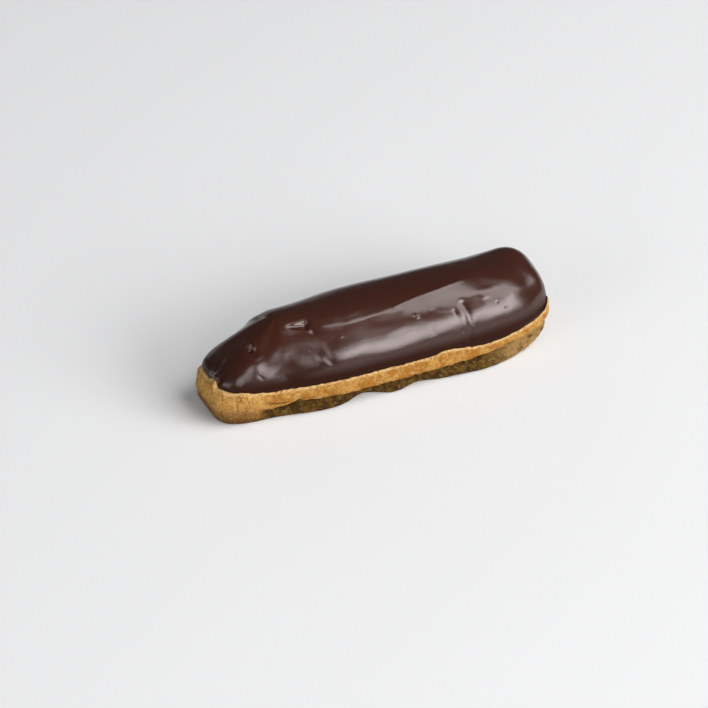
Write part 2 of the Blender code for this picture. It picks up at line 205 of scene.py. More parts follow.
@dataclass
class Plan:
    """The plan outline and the sizes that both pieces share."""

    length: float = 0.140
    nose_cap: float = 0.0300
    blunt_cap: float = 0.0328
    nose_power: float = 4.2
    blunt_power: float = 2.9
    half_width: Course = Course(
        0.0205,
        (Swell(Side.ALL_ROUND, -0.034, 0.012, -0.0009), Change(-0.015, -0.056, -0.0035)),
    )
    top: Course = Course(
        0.0335,
        (
            Swell(Side.ALL_ROUND, 0.047, 0.016, -0.0017),
            Swell(Side.ALL_ROUND, 0.070, 0.010, 0.0026),
            Change(-0.038, -0.067, -0.0093),
        ),
    )
    back_narrowing: Course = Course(-0.0025, (Change(-0.048, -0.062, -0.0023),))
    nose_wall: tuple[float, float] = (-0.050, -0.060)
    edge_jag: float = 0.00042
    edge_jag_size: float = 0.0032
    corner_near: tuple[float, float] = (-0.0088, -0.0078)
    corner_far: tuple[float, float] = (-0.0074, 0.0006)
    corner_along: tuple[float, float] = (-0.060, -0.066)
    corner_rise: float = 0.0027
    notch: Point = (0.0683, -0.0100, 0.0)
    notch_reach: float = 0.0011
    notch_rise: float = 0.0019
    lip_jag: float = 0.00050
    lip_jag_size: float = 0.0042
    wobble_reach: float = 0.0045
    bow: Course = Course(
        0.0,
        (Swell(Side.ALL_ROUND, -0.030, 0.018, -0.0016), Swell(Side.ALL_ROUND, 0.020, 0.026, -0.0015)),
    )
    lip: Course = Course(
        0.0065,
        (
            Swell(Side.ALL_ROUND, -0.057, 0.014, -0.0010),
            Swell(Side.FRONT, -0.005, 0.014, -0.0005),
            Swell(Side.FRONT, -0.0395, 0.0018, 0.0016),
            Swell(Side.BACK, 0.010, 0.020, 0.0006),
            Change(0.020, 0.062, 0.0018),
        ),
        Tips(0.0, 0.0018),
    )
    foot: Course = Course(
        0.0014,
        (
            Swell(Side.ALL_ROUND, -0.060, 0.014, 0.0005),
            Swell(Side.FRONT, -0.033, 0.009, -0.0010),
            Swell(Side.FRONT, -0.013, 0.007, 0.0036),
            Swell(Side.FRONT, -0.002, 0.005, -0.0010),
            Swell(Side.FRONT, 0.009, 0.006, 0.0019),
            Swell(Side.FRONT, 0.036, 0.011, -0.0018),
            Swell(Side.BACK, -0.028, 0.008, 0.0013),
            Swell(Side.BACK, -0.006, 0.010, -0.0012),
            Swell(Side.BACK, 0.018, 0.007, 0.0015),
            Swell(Side.BACK, 0.040, 0.009, -0.0010),
            Swell(Side.ALL_ROUND, 0.064, 0.010, 0.0010),
        ),
        Tips(0.0, -0.0004),
    )
    foot_bulge: float = 0.0003
    heel: Course = Course(0.0, (Change(0.046, 0.070, 0.0030),))
    edge: Course = Course(
        0.0121,
        (
            Swell(Side.ALL_ROUND, -0.054, 0.010, -0.0005),
            Swell(Side.FRONT, 0.020, 0.009, 0.0018),
            Swell(Side.BACK, 0.004, 0.012, -0.0006),
            Change(-0.020, 0.035, -0.0014),
        ),
        Tips(0.0020, 0.0033),
    )
    shoulder: Course = Course(0.0006, (), Tips(0.0021, 0.0002))
    front_power: Course = Course(
        1.84,
        (
            Change(0.005, 0.045, 0.18),
            Swell(Side.ALL_ROUND, -0.055, 0.010, -0.26),
            Swell(Side.ALL_ROUND, -0.038, 0.009, -0.24),
            Swell(Side.ALL_ROUND, -0.020, 0.010, 0.14),
            Swell(Side.ALL_ROUND, 0.002, 0.011, 0.15),
            Swell(Side.ALL_ROUND, 0.018, 0.009, 0.07),
            Swell(Side.ALL_ROUND, 0.034, 0.008, 0.05),
        ),
    )
    back_power: Course = Course(2.5, (Change(-0.040, -0.056, -0.4),))
    bead_height: float = 0.0009
    bead_undercut: float = 0.0004
    side_columns: int = 190
    cap_columns: int = 140

    def __post_init__(self) -> None:
        """Work out the columns: where each starts on the spine, and which way it runs outwards."""
        nose_end = -self.length / 2 + self.nose_cap
        blunt_end = self.length / 2 - self.blunt_cap
        count = self.side_columns
        straight = np.linspace(blunt_end, nose_end, count, endpoint=False)
        returning = np.linspace(nose_end, blunt_end, count, endpoint=False)
        none = np.zeros(count)
        whole = np.ones(count)
        nose_reach, nose_swing = rounded_end(self.nose_power, self.nose_cap, self.cap_columns)
        blunt_reach, blunt_swing = rounded_end(self.blunt_power, self.blunt_cap, self.cap_columns)
        caps = self.cap_columns
        self.spine = np.concatenate((straight, np.full(caps, nose_end), returning, np.full(caps, blunt_end)))
        self.out_x = np.concatenate((none, -self.nose_cap * nose_reach, none, self.blunt_cap * blunt_reach))
        self.facing = np.concatenate((-whole, -nose_swing, whole, blunt_swing))
        self.rim = self.spine + self.out_x
        share_back = (1.0 + self.facing) / 2.0
        half_width = self.half_width.at(self.rim, self.facing)
        narrowing = self.back_narrowing.at(self.rim, self.facing)
        self.out_y = self.facing * (half_width + share_back * narrowing)
        self.reach = np.hypot(self.out_x, self.out_y)
        self.nose = ease(0.0, 1.0, -self.out_x / self.nose_cap)
        self.blunt = ease(0.0, 1.0, self.out_x / self.blunt_cap)
        self.nose_share = ease(*self.nose_wall, self.rim)
        lip_line = np.stack((self.rim, self.out_y, 0.0 * self.rim), axis=-1)
        self.edge_wobble = self.edge_jag * noise_at(lip_line, self.edge_jag_size, 3, 2.3)
        at_nose = ease(*self.corner_along, self.rim)
        corner = at_nose * ease(*self.corner_near, self.out_y) * (1.0 - ease(*self.corner_far, self.out_y))
        self.edge_wobble += self.corner_rise * corner
        from_notch = np.linalg.norm(lip_line - self.notch, axis=-1)
        self.edge_wobble += self.notch_rise * np.exp(-((from_notch / self.notch_reach) ** 2))
        self.lip_wobble = self.lip_jag * noise_at(lip_line, self.lip_jag_size, 3, 5.9)

    def size(self, course: Course) -> Array:
        """Give a size in each column, its tips included."""
        return (
            course.at(self.rim, self.facing)
            + course.tips.nose * self.nose
            + course.tips.blunt * self.blunt
        )

    def edge_height(self) -> Array:
        """Give the height of the icing's lower edge in each column, its small teeth included."""
        return self.size(self.edge) + self.edge_wobble

    def bow_at(self, x: Array) -> Array:
        """Give the sideways bow of the body at places along the length."""
        return self.bow.at(x, 0.0 * x)

    def top_at(self, x: Array) -> Array:
        """Give the height of the top line at places along the length."""
        return self.top.at(x, 0.0 * x)

    def ring(self, outwards: Array, height: Array) -> Array:
        """Give one row of points, stepped outwards from the lip line by a distance."""
        share = (self.reach + outwards) / self.reach
        x = self.spine + self.out_x * share
        y = self.out_y * share + self.bow_at(x)
        return np.stack((x, y, height + 0.0 * x), axis=-1)

    def out_direction(self) -> Array:
        """Give each column's level direction outwards."""
        level = np.zeros_like(self.out_x)
        return np.stack((self.out_x, self.out_y, level), axis=-1) / self.reach[:, None]

    def dome(self, sweep: Array) -> Array:
        """Give the smooth rows over the top.

        Args:
            sweep: The angle of each row, from 0 at the side to a quarter turn on the spine.

        Returns:
            Points, by row and column.
        """
        front = self.front_power.at(self.rim, self.facing)
        share_back = (1.0 + self.facing) / 2.0
        back = self.back_power.at(self.rim, self.facing)
        power = front * (1.0 - share_back) + back * share_back
        start = self.size(self.edge) + self.bead_height
        angle = sweep[:, None]
        across = np.maximum(np.cos(angle), 0.0) ** (2.0 / power)
        across[-1] = 0.0
        share = across * (self.reach - self.size(self.shoulder)) / self.reach
        x = self.spine + self.out_x * share
        y = self.out_y * share + self.bow_at(x)
        z = start + (self.top_at(x) - start) * np.sin(angle) ** (2.0 / power)
        z += self.edge_wobble * (1.0 - ease(0.0, self.wobble_reach, z - start))
        return np.stack((x, y, z), axis=-1)


def distance_to_line(points: Array, line: Sequence[Point]) -> tuple[Array, Array, Array, float]:
    """Measure points against a line through a few points.

    Args:
        points: Points, with X, Y and Z last.
        line: The points that the line runs through.

    Returns:
        Each point's distance, its place along the line, its signed side in plan, and the line's length.
    """
    course = np.array(line)
    steps = np.linalg.norm(np.diff(course, axis=0), axis=1)
    starts = np.concatenate(((0.0,), np.cumsum(steps)))
    best = np.full(points.shape[:-1], np.inf)
    place = np.zeros_like(best)
    side = np.zeros_like(best)
    for index, step in enumerate(steps):
        direction = (course[index + 1] - course[index]) / step
        offset = points - course[index]
        run = np.clip(offset @ direction, 0.0, step)
        gap = offset - run[..., None] * direction
        distance = np.linalg.norm(gap, axis=-1)
        closer = distance < best
        best = np.where(closer, distance, best)
        place = np.where(closer, starts[index] + run, place)
        side = np.where(closer, direction[0] * gap[..., 1] - direction[1] * gap[..., 0], side)
    return best, place, side, float(starts[-1])


@dataclass(frozen=True)
class Hollow:
    """A rounded dent, or a swelling where its depth is negative; all in millimetres."""

    centre: Point
    half_length: float
    half_width: float
    depth: float

    def rise(self, points: Array) -> Array:
        """Give the rise of the surface at each point, which is negative in a dent."""
        offset = (points / MM - self.centre) / (self.half_length, self.half_width, self.half_width)
        return -self.depth * MM * np.exp(-np.sum(offset**2, axis=-1))


@dataclass(frozen=True)
class Waves:
    """Slow unevenness: noise of one size, in millimetres, drawn out along the length."""

    size: float
    height: float
    stretch: float = 1.0
    octaves: int = 1
    seed: float = 0.0

    def rise(self, points: Array) -> Array:
        """Give the rise of the surface at each point."""
        squeezed = points / (self.stretch, 1.0, 1.0)
        return self.height * MM * noise_at(squeezed, self.size * MM, self.octaves, self.seed)


@dataclass(frozen=True)
class Furrow:
    """A long dent along a line; all in millimetres."""

    half_width: float
    depth: float
    line: tuple[Point, ...]

    def rise(self, points: Array) -> Array:
        """Give the rise of the surface at each point."""
        distance = distance_to_line(points / MM, self.line)[0]
        return -self.depth * MM * np.exp(-((distance / self.half_width) ** 2))


@dataclass(frozen=True)
class Scoop:
    """A dent that deepens evenly along a line and ends in a steep wall; sizes in millimetres."""

    tail: Point
    head: Point
    half_width: float
    depth: float
    wall: float
    onset: float = 1.4
    tail_share: float = 0.5
    squareness: float = 2.6

    def rise(self, points: Array) -> Array:
        """Give the rise of the surface at each point."""
        line = np.array(self.head) - self.tail
        length = float(np.linalg.norm(line))
        offset = points / MM - self.tail
        run = offset @ (line / length)
        aside = np.linalg.norm(offset - run[..., None] * (line / length), axis=-1)
        share = np.clip(run / length, 0.0, 1.0) ** self.onset
        deepening = share * (1.0 - ease(length, length + self.wall, run))
        width = self.half_width * (self.tail_share + (1.0 - self.tail_share) * share)
        return -self.depth * MM * deepening * np.exp(-((aside / width) ** self.squareness))


@dataclass(frozen=True)
class Terrace:
    """A low step along a line, where a thick flow of icing stopped; all in millimetres."""

    line: tuple[Point, ...]
    height: float = 0.5
    slope: float = 3.4
    back: float = 4.0
    fade: float = 12.0

    def rise(self, points: Array) -> Array:
        """Give the rise of the surface at each point."""
        distance, place, side, total = distance_to_line(points / MM, self.line)
        run_out = np.where(side > 0.0, self.back, self.slope)
        ends = ease(0.0, self.fade, place) * ease(total, total - self.fade, place)
        return self.height * MM * ends * np.exp(-distance / run_out)


def loft(name: str, rows: Array, marks: Mapping[str, Array]) -> bpy.types.Object:
    """Skin rows of points into one closed body; the first and last rows fold onto the spine.

    Args:
        name: The piece's name.
        rows: Points, by row and column.
        marks: Numbers kept on the points for the finish to read, by name.

    Returns:
        The new object, shaded smooth.
    """
    count, columns = rows.shape[:2]
    points = rows.reshape(-1, 3)
    index = np.arange(count * columns).reshape(count, columns)
    after = np.roll(index, -1, axis=1)
    quads = np.stack((index[:-1], index[1:], after[1:], after[:-1]), axis=-1).reshape(-1, 4)
    keys = np.round(points / 1e-7).astype(np.int64)
    _, first, merged = np.unique(keys, axis=0, return_index=True, return_inverse=True)
    merged = merged.reshape(-1)
    quads = merged[quads]
    faces = []
    for quad in quads.tolist():
        face = list(dict.fromkeys(quad))
        if len(face) > 2:
            faces.append(face)
    mesh = bpy.data.meshes.new(name)
    mesh.from_pydata(points[first].tolist(), [], faces)
    for mark, values in marks.items():
        layer = mesh.attributes.new(mark, "FLOAT", "POINT")
        layer.data.foreach_set("value", values.reshape(-1)[first].astype(np.float32))
    mesh.shade_smooth()
    piece = bpy.data.objects.new(name, mesh)
    bpy.context.scene.collection.objects.link(piece)
    return piece


# Shader graphs


class Graph:
    """The node tree of one material, with one way to add a node."""

    def __init__(self, material: bpy.types.Material) -> None:
        """Empty the material's tree and keep it."""
        material.use_nodes = True
        self.tree = material.node_tree
        self.tree.nodes.clear()

    def node(
        self,
        kind: str,
        settings: Mapping[str, Any] | None = None,
        inputs: Mapping[str, Any] | None = None,
    ) -> bpy.types.Node:
        """Add a node.

        Args:
            kind: The node's type.
            settings: Its own settings, set first; "stops" gives a ramp's places and colours.
            inputs: Values or links for its sockets, by identifier or name.

        Returns:
            The new node.
        """
        node = self.tree.nodes.new(kind)
        for name, value in (settings or {}).items():
            if name == "stops":
                self.fill_ramp(node.color_ramp, value)
            else:
                setattr(node, name, value)
        for name, value in (inputs or {}).items():
            socket = next(s for s in node.inputs if name in (s.identifier, s.name))
            self.feed(socket, value)
        return node

    @staticmethod
    def fill_ramp(ramp: bpy.types.ColorRamp, stops: Sequence[tuple[float, Sequence[float]]]) -> None:
        """Give a colour ramp its stops, each a place and a colour."""
        while len(ramp.elements) < len(stops):
            ramp.elements.new(0.5)
        for element, (place, colour) in zip(ramp.elements, stops):
            element.position = place
            element.color = (*colour, 1.0)

    def feed(self, socket: bpy.types.NodeSocket, value: Any) -> None:
        """Set a socket to a plain value, or link a value or another socket to it."""
        if isinstance(value, Value):
            self.tree.links.new(value.socket, socket)
        elif isinstance(value, bpy.types.NodeSocket):
            self.tree.links.new(value, socket)
        else:
            socket.default_value = value

    def mark(self, name: str) -> "Value":
        """Read a number that the mesh keeps on its points."""
        node = self.node("ShaderNodeAttribute", {"attribute_name": name})
        return Value(self, node.outputs["Fac"])

    def place(self) -> bpy.types.NodeSocket:
        """Give the position in the eclair's own frame, in metres."""
        return self.node("ShaderNodeTexCoord").outputs["Object"]

    def height(self) -> "Value":
        """Give the height above the ground."""
        node = self.node("ShaderNodeSeparateXYZ", None, {"Vector": self.place()})
        return Value(self, node.outputs["Z"])

    def stretched(self, scale: Point) -> bpy.types.NodeSocket:
        """Give the position, scaled along each axis."""
        node = self.node(
            "ShaderNodeVectorMath", {"operation": "MULTIPLY"}, {"Vector": self.place(), "Vector_001": scale}
        )
        return node.outputs["Vector"]

    def noise(self, scale: float, detail: float = 2.0, roughness: float = 0.5, vector: Any = None) -> "Value":
        """Give noise between 0 and 1, with scale features to the metre."""
        node = self.node(
            "ShaderNodeTexNoise",
            {"noise_dimensions": "3D"},
            {
                "Vector": vector or self.place(),
                "Scale": scale,
                "Detail": detail,
                "Roughness": roughness,
            },
        )
        return Value(self, node.outputs["Fac"])

    def cells(self, scale: float, feature: str = "F1", vector: Any = None) -> "Value":
        """Give the distance to the nearest of scattered points, scale of them to the metre."""
        node = self.node(
            "ShaderNodeTexVoronoi", {"feature": feature}, {"Vector": vector or self.place(), "Scale": scale}
        )
        return Value(self, node.outputs["Distance"])

    def blend(self, share: Any, first: Any, second: Any) -> bpy.types.NodeSocket:
        """Blend two colours; a share of 0 gives the first and 1 the second."""
        node = self.node(
            "ShaderNodeMix",
            {"data_type": "RGBA", "clamp_factor": True},
            {"Factor_Float": share, "A_Color": first, "B_Color": second},
        )
        return next(s for s in node.outputs if s.identifier == "Result_Color")

    def ramp(self, share: Any, stops: Sequence[tuple[float, Sequence[float]]]) -> bpy.types.NodeSocket:
        """Turn a number into a colour along a ramp."""
        return self.node("ShaderNodeValToRGB", {"stops": stops}, {"Fac": share}).outputs["Color"]


class Value:
    """A socket that carries a number, and the arithmetic on it."""

    def __init__(self, graph: Graph, socket: bpy.types.NodeSocket) -> None:
        """Wrap a socket of a graph."""
        self.graph = graph
        self.socket = socket

    def math(self, operation: str, *terms: Any, clamp: bool = False) -> "Value":
        """Add one Math node."""
        names = ("Value", "Value_001", "Value_002")
        node = self.graph.node(
            "ShaderNodeMath", {"operation": operation, "use_clamp": clamp}, dict(zip(names, terms))
        )
        return Value(self.graph, node.outputs[0])

    def __add__(self, other: Any) -> "Value":
        """Add."""
        return self.math("ADD", self, other)

    def __radd__(self, other: Any) -> "Value":
        """Add to a plain number."""
        return self.math("ADD", other, self)

    def __sub__(self, other: Any) -> "Value":
        """Subtract."""
        return self.math("SUBTRACT", self, other)

    def __rsub__(self, other: Any) -> "Value":
        """Subtract from a plain number."""
        return self.math("SUBTRACT", other, self)

    def __mul__(self, other: Any) -> "Value":
        """Multiply."""
        return self.math("MULTIPLY", self, other)

    def __rmul__(self, other: Any) -> "Value":
        """Multiply a plain number."""
        return self.math("MULTIPLY", other, self)

    def between(self, low: float, high: float) -> "Value":
        """Rise smoothly from 0 at low to 1 at high."""
        node = self.graph.node(
            "ShaderNodeMapRange",
            {"interpolation_type": "SMOOTHSTEP"},
            {"Value": self, "From Min": low, "From Max": high, "To Min": 0.0, "To Max": 1.0},
        )
        return Value(self.graph, node.outputs["Result"])


# Finishes


@dataclass(frozen=True)
class IcingFinish:
    """Set dark chocolate: a warm brown, darkened by painted shade towards the bottom of the sides, under a
    soft gloss that thins out down the sides.
    """

    name: str = "dark_chocolate_icing"
    # painted shade: the darker brown of the lower sides
    painted_shade_brown: Point = (0.024, 0.0064, 0.0030)
    warm: Point = (0.045, 0.0117, 0.0056)
    gloss: tuple[float, float] = (0.21, 0.66)
    gloss_tint: Point = (1.0, 0.93, 0.93)
    dull: tuple[float, float] = (0.36, 0.06)
    gloss_low: float = 0.03
    gloss_heights: tuple[float, float] = (0.0145, 0.0190)

    def surface(
        self, graph: Graph, look: tuple[float, float], colour: Any, normal: Any
    ) -> bpy.types.NodeSocket:
        """Add one Principled shader.

        Args:
            graph: The material's graph.
            look: Its roughness and its specular level.
            colour: The base colour.
            normal: The bumped normal.

        Returns:
            The shader's output.
        """
        roughness, specular = look
        streaks = graph.noise(140.0, 4.0, 0.6)
        shader = graph.node(
            "ShaderNodeBsdfPrincipled",
            None,
            {
                "Base Color": colour,
                "Roughness": roughness + (streaks - 0.5) * 0.08,
                "Specular IOR Level": specular,
                "Specular Tint": (*self.gloss_tint, 1.0),
                "Normal": normal,
            },
        )
        return shader.outputs["BSDF"]

    def build(self) -> bpy.types.Material:
        """Make the material."""
        material = bpy.data.materials.new(self.name)
        graph = Graph(material)
        height = graph.height()
        # painted shade: the brown darkens from the top down to the lower sides
        colour = graph.blend(height.between(0.012, 0.030), (*self.painted_shade_brown, 1.0), (*self.warm, 1.0))
        grain = graph.noise(2200.0, 3.0, 0.6)
        bump = graph.node(
            "ShaderNodeBump", None, {"Strength": 0.12, "Distance": 0.0002, "Height": grain}
        )
        normal = bump.outputs["Normal"]
        share = self.gloss_low + height.between(*self.gloss_heights) * (1.0 - self.gloss_low)
        mixed = graph.node(
            "ShaderNodeMixShader",
            None,
            {
                "Fac": share,
                "Shader": self.surface(graph, self.dull, colour, normal),
                "Shader_001": self.surface(graph, self.gloss, colour, normal),
            },
        )
        graph.node("ShaderNodeOutputMaterial", None, {"Surface": mixed.outputs["Shader"]})
        return material


@dataclass(frozen=True)
class CrustFinish:
    """Baked choux: golden on the lip, olive brown on the wall below it, with painted shade on that wall, in
    the dents and at the bottom of the nose, and painted light on the nose and at the blunt end.
    """

    name: str = "baked_choux_crust"
    golden: Point = (0.35, 0.145, 0.020)
    pale: Point = (0.47, 0.255, 0.064)
    toasted: Point = (0.25, 0.085, 0.012)
    # painted shade: the dark brown at the bottom of the nose
    painted_nose_shade: Point = (0.10, 0.040, 0.008)
    # painted light: a lighter brown where the wall at the blunt end is lit
    tan: Point = (0.30, 0.175, 0.060)
    # the wall's olive brown is partly the crust's own duller colour and partly painted shade for the recess
    # under the lip; shadowed is painted shadow
    olive: Point = (0.120, 0.060, 0.008)
    shadowed: Point = (0.042, 0.018, 0.003)
    dusty: Point = (0.25, 0.165, 0.070)
    # painted shade: the dark brown in dents, cracks and pits, by their depth
    painted_dent_shade: Point = (0.045, 0.015, 0.004)
    flaky: Point = (0.66, 0.44, 0.20)
    # painted light: a brighter gold over the nose
    bright: Point = (0.62, 0.36, 0.11)
    roughness: float = 0.66
    specular: float = 0.08

    def build(self) -> bpy.types.Material:
        """Make the material."""
        material = bpy.data.materials.new(self.name)
        graph = Graph(material)
        lip = graph.mark("lip")
        colour = graph.blend(lip.between(0.15, 0.75), self.wall(graph), self.baked(graph))
        crumbs = graph.noise(1500.0, 3.0, 0.6)
        colour = graph.blend(crumbs.between(0.57, 0.67) * lip * 0.5, colour, (*self.flaky, 1.0))
        rim = graph.mark("rim")
        colour = graph.blend(rim * crumbs.between(0.40, 0.52) * 0.9, colour, (*self.flaky, 1.0))
        # painted shade: darker by the depth of each crack and pit
        dent = graph.mark("dent")
        colour = graph.blend(dent.between(0.00004, 0.00030) * 0.7, colour, (*self.painted_dent_shade, 1.0))
        grain = graph.noise(1900.0, 4.0, 0.65)
        bump = graph.node(
            "ShaderNodeBump", None, {"Strength": 0.9, "Distance": 0.0003, "Height": grain}
        )
        shader = graph.node(
            "ShaderNodeBsdfPrincipled",
            None,
            {
                "Base Color": colour,
                "Roughness": self.roughness,
                "Specular IOR Level": self.specular,
                "Normal": bump.outputs["Normal"],
            },
        )
        graph.node("ShaderNodeOutputMaterial", None, {"Surface": shader.outputs["BSDF"]})
        return material

    def baked(self, graph: Graph) -> bpy.types.NodeSocket:
        """Colour the golden lip, and the nose with its streaks, lit by painted light and darkened by painted
        shade towards its bottom.
        """
        nose = graph.mark("nose")
        patches = graph.noise(230.0, 4.0, 0.65)
        golden = graph.blend(patches.between(0.42, 0.60), (*self.golden, 1.0), (*self.pale, 1.0))
        # painted light on the nose
        golden = graph.blend(nose * 0.65, golden, (*self.bright, 1.0))
        toast = graph.noise(430.0, 5.0, 0.70)
        golden = graph.blend(toast.between(0.50, 0.64) * 0.7, golden, (*self.toasted, 1.0))
        mottle = graph.noise(1450.0, 3.0, 0.65)
        golden = graph.blend(mottle.between(0.49, 0.64) * 0.6, golden, (*self.toasted, 1.0))
        streaks = graph.noise(620.0, 4.0, 0.6, graph.stretched((1.0, 1.0, 0.22)))
        golden = graph.blend(streaks.between(0.50, 0.60) * nose * 0.75, golden, (*self.toasted, 1.0))
        pale_streaks = graph.noise(900.0, 3.0, 0.6, graph.stretched((1.0, 1.0, 0.18)))
        golden = graph.blend(pale_streaks.between(0.50, 0.62) * nose * 0.8, golden, (*self.pale, 1.0))
        # painted shade: the nose darkens towards its bottom
        nose_shade_share = 1.0 - graph.height().between(0.0008, 0.0110)
        return graph.blend(nose_shade_share * nose, golden, (*self.painted_nose_shade, 1.0))

    def wall(self, graph: Graph) -> bpy.types.NodeSocket:
        """Colour the wall below the lip: olive brown that is partly painted shade, with patches and specks of
        painted shadow, and painted light at the blunt end.
        """
        # painted shadow: noise patches of the shadowed colour among the olive brown
        light_and_shade_noise = graph.noise(300.0, 5.0, 0.70)
        dull = graph.blend(light_and_shade_noise.between(0.40, 0.60), (*self.shadowed, 1.0), (*self.olive, 1.0))
        # painted light on the wall at the blunt end
        dull = graph.blend(graph.mark("blunt") * light_and_shade_noise.between(0.30, 0.52), dull, (*self.tan, 1.0))
        dust = graph.noise(760.0, 4.0, 0.65)
        dull = graph.blend(dust.between(0.54, 0.66) * 0.5, dull, (*self.dusty, 1.0))
        # painted shade: dark specks in the shadowed colour
        specks = graph.noise(1000.0, 3.0, 0.6)
        return graph.blend(specks.between(0.52, 0.66) * 0.6, dull, (*self.shadowed, 1.0))


# The two pieces


@dataclass(frozen=True)
class Place:
    """Where the pieces go in the frame, and the box of the solids that they stay inside."""

    shift: Array
    low: Array
    high: Array
    margin: float = 0.00025

    def settle(self, rows: Array) -> Array:
        """Move rows of points into place and press back what would stand out of the box.

        Args:
            rows: Points, by row and column, in the plan's own place.

        Returns:
            The moved points; only those within the margin of the box, or beyond it, are pressed.
        """
        moved = rows + self.shift
        over = np.maximum(moved - (self.high - self.margin), 0.0)
        moved = moved - over + self.margin * np.tanh(over / self.margin)
        under = np.maximum(self.low + self.margin - moved, 0.0)
        under[..., 2] = 0.0
        return moved + under - self.margin * np.tanh(under / self.margin)


@dataclass
class Icing:
    """The coat of chocolate, open below, with a rounded bead along its lower edge."""

    plan: Plan
    thickness: float = 0.0016
    outer_rows: int = 120
    inner_rows: int = 9
    bead_rows: int = 8
    forms: tuple = (
        Hollow((-52.2, -8.0, 25.1), 2.8, 2.2, 1.1),
        Hollow((-53.7, -8.6, 24.0), 4.5, 7.4, -1.1),
        Hollow((-60.8, -4.3, 21.1), 3.7, 8.4, -1.0),
        Hollow((-42.5, -16.3, 17.6), 5.4, 5.3, 1.1),
        Hollow((-24.4, -15.6, 26.4), 19.5, 4.8, 0.6),
        Hollow((-1.6, -20.3, 16.9), 10.8, 5.3, -0.6),
        Hollow((25.7, -14.9, 27.7), 6.9, 5.4, 0.3),
        Hollow((38.5, -12.8, 28.2), 8.3, 2.3, -0.4),
        Hollow((57.4, -16.1, 21.5), 9.6, 9.5, 1.3),
        Hollow((60.4, 8.0, 28.2), 8.3, 7.1, -1.5),
        Hollow((-45.8, 9.0, 27.2), 2.4, 4.0, -0.4),
        Furrow(6.3, 1.4, ((67.1, -18.0, 18.0), (64.6, -15.5, 24.0), (59.1, -9.0, 28.5))),
        Terrace(
            (
                (-24.0, -12.8, 30.0),
                (-11.5, -12.4, 30.7),
                (5.0, -10.6, 31.6),
                (12.5, -9.3, 32.0),
                (21.5, -9.1, 32.5),
                (31.5, -6.4, 32.5),
                (43.5, -2.4, 32.1),
                (57.0, 1.7, 30.7),
            )
        ),
    )
    detail: tuple = (
        Waves(11.0, 0.12, 1.6, 1, 3.1),
        Waves(4.2, 0.04, 1.5, 2, 8.7),
        Waves(1.1, 0.006, 1.0, 2, 5.2),
        Furrow(0.9, 0.05, ((18.8, -15.5, 27.5), (22.0, -15.8, 26.9), (24.6, -16.3, 26.2))),
        Furrow(0.9, 0.16, ((24.6, -16.3, 26.2), (25.3, -18.4, 23.3), (26.1, -20.3, 19.3))),
        Furrow(1.6, -0.13, ((26.4, -16.9, 25.2), (26.9, -18.3, 23.2), (27.6, -19.6, 20.7))),
        Furrow(
            1.3,
            0.34,
            ((28.7, -14.7, 27.6), (29.7, -17.1, 24.7), (29.6, -19.1, 21.6), (29.1, -21.1, 14.9)),
        ),
        Furrow(2.0, 0.1, ((28.5, -15.2, 27.0), (31.5, -14.9, 27.2), (34.9, -14.8, 27.2))),
        Furrow(
            1.1,
            -0.09,
            ((-26.4, -10.4, 30.5), (-15.8, -11.6, 30.3), (-3.8, -11.7, 30.4), (4.0, -12.2, 30.1)),
        ),
        Furrow(0.9, -0.11, ((2.6, -11.0, 31.1), (8.3, -10.2, 31.7), (20.0, -8.9, 32.4), (32.0, -7.2, 32.3))),
        Scoop((-39.6, -6.2, 31.5), (-32.0, -7.8, 31.4), 1.5, 1.3, 1.7),
        Furrow(1.0, 0.24, ((-30.6, -7.3, 31.9), (-30.9, -8.9, 30.9), (-30.0, -10.5, 29.8))),
        Scoop((-57.6, -3.0, 24.0), (-53.0, -6.2, 25.8), 1.6, 1.3, 1.4),
        Furrow(0.7, 0.2, ((-51.0, -1.6, 28.2), (-51.9, -5.6, 27.1), (-53.7, -7.5, 24.9))),
        Furrow(0.8, 0.16, ((-49.4, -4.3, 29.1), (-50.6, -7.0, 27.1), (-52.6, -8.7, 24.9))),
        Furrow(1.0, -0.12, ((-65.5, -6.4, 18.5), (-63.0, -5.3, 20.1), (-61.0, -4.5, 21.7))),
        Furrow(1.3, 0.12, ((-66.5, -4.1, 18.3), (-63.9, -2.7, 19.6), (-61.6, -2.0, 21.5))),
        Furrow(0.5, 0.08, ((-53.6, -13.6, 20.0), (-52.5, -14.3, 18.8), (-51.9, -14.8, 18.0))),
        Furrow(1.4, 0.13, ((-28.3, -15.0, 24.6), (-27.4, -16.8, 22.4), (-26.6, -18.3, 20.1))),
        Furrow(1.4, -0.12, ((-30.2, -16.6, 21.9), (-29.6, -17.8, 20.2), (-27.6, -18.7, 18.9))),
        Furrow(0.9, 0.07, ((-31.6, -16.2, 22.1), (-31.3, -17.3, 20.4), (-30.1, -18.1, 19.3))),
        Furrow(0.5, 0.05, ((13.0, -19.9, 20.7), (13.9, -18.7, 23.1), (14.8, -19.9, 20.8))),
        Hollow((-51.8, -13.8, 20.0), 0.4, 0.4, 0.18),
        Hollow((-50.0, -4.7, 28.6), 0.6, 0.6, -0.16),
        Hollow((-58.1, -4.6, 23.5), 0.5, 0.5, -0.28),
        Hollow((-20.7, -14.3, 27.1), 0.8, 0.7, -0.35),
        Hollow((-32.9, -14.1, 24.6), 0.5, 0.5, -0.15),
        Hollow((0.7, -20.2, 19.7), 0.5, 0.4, 0.18),
        Hollow((9.8, -15.4, 27.3), 0.6, 0.4, -0.18),
        Hollow((8.6, -14.6, 28.0), 0.6, 0.5, 0.12),
        Hollow((15.4, -15.0, 28.0), 1.0, 0.8, -0.08),
        Hollow((38.1, -14.4, 27.4), 1.2, 0.6, -0.12),
        Hollow((42.4, -15.9, 24.8), 0.4, 0.4, 0.18),
        Hollow((45.5, -17.4, 22.1), 0.6, 0.5, 0.26),
    )
    finish: IcingFinish = IcingFinish()

